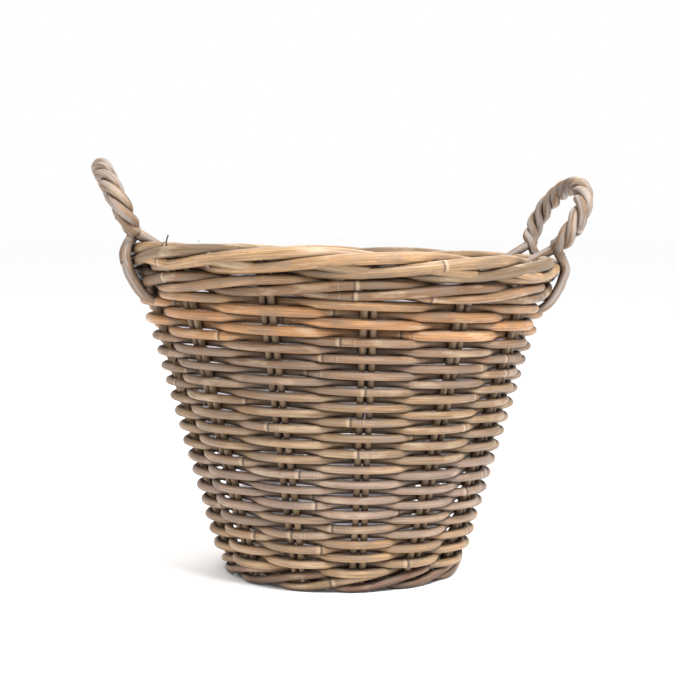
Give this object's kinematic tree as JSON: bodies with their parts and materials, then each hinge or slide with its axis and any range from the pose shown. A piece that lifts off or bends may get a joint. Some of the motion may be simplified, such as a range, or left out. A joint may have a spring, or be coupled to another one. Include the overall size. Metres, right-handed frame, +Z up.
{
  "type": "wicker log basket",
  "caption": "Round tapered basket of woven rattan with a twisted rope border, two fixed side handles, a domed woven base and a film liner, for firewood.",
  "frame": {"origin": "on the floor, under the middle of the basket", "axes": "+Z up; the two handles are on the X axis; -Y is the front, where a pair of stakes stands"},
  "size_m": [0.5142, 0.4478, 0.4195],
  "materials": {
    "stakes": "satin",
    "side_rods": "satin",
    "thick_rods": "satin",
    "border": "satin",
    "foot": "satin",
    "base": "matte",
    "handles": "matte",
    "liner": "gloss"
  },
  "bodies": {
    "root": {"liner": "liner", "base_sticks_lower": "base", "base_sticks_upper": "base", "base_half_stick": "base", "base_tie": "base", "base_round_1": "base", "base_round_2": "base", "base_round_3": "base", "base_round_4": "base", "foot_wale_1": "foot", "foot_wale_2": "foot", "foot_wale_3": "foot", "stake_pair_01": "stakes", "stake_pair_02": "stakes", "stake_pair_03": "stakes", "stake_pair_04": "stakes", "stake_pair_05": "stakes", "stake_pair_06": "stakes", "stake_pair_07": "stakes", "stake_pair_08": "stakes", "stake_pair_09": "stakes", "stake_pair_10": "stakes", "stake_pair_11": "stakes", "stake_pair_12": "stakes", "stake_pair_13": "stakes", "side_round_01": "side_rods", "side_round_02": "side_rods", "side_round_03": "side_rods", "side_round_04": "side_rods", "side_round_05": "side_rods", "side_round_06": "side_rods", "side_round_07": "side_rods", "side_round_08": "side_rods", "side_round_09": "side_rods", "side_round_10": "side_rods", "side_round_11": "side_rods", "side_round_12": "side_rods", "side_round_13": "side_rods", "side_round_14": "side_rods", "side_round_15": "side_rods", "side_round_16": "thick_rods", "side_round_17": "thick_rods", "side_round_18": "thick_rods", "top_wale_1": "border", "top_wale_2": "border", "top_wale_3": "border", "border_rod_1": "border", "border_rod_2": "border", "border_rod_3": "border", "border_rod_4": "border", "handle_left_rod_1": "handles", "handle_left_rod_2": "handles", "handle_left_rod_3": "handles", "handle_right_rod_1": "handles", "handle_right_rod_2": "handles", "handle_right_rod_3": "handles"}
  },
  "joints": []
}
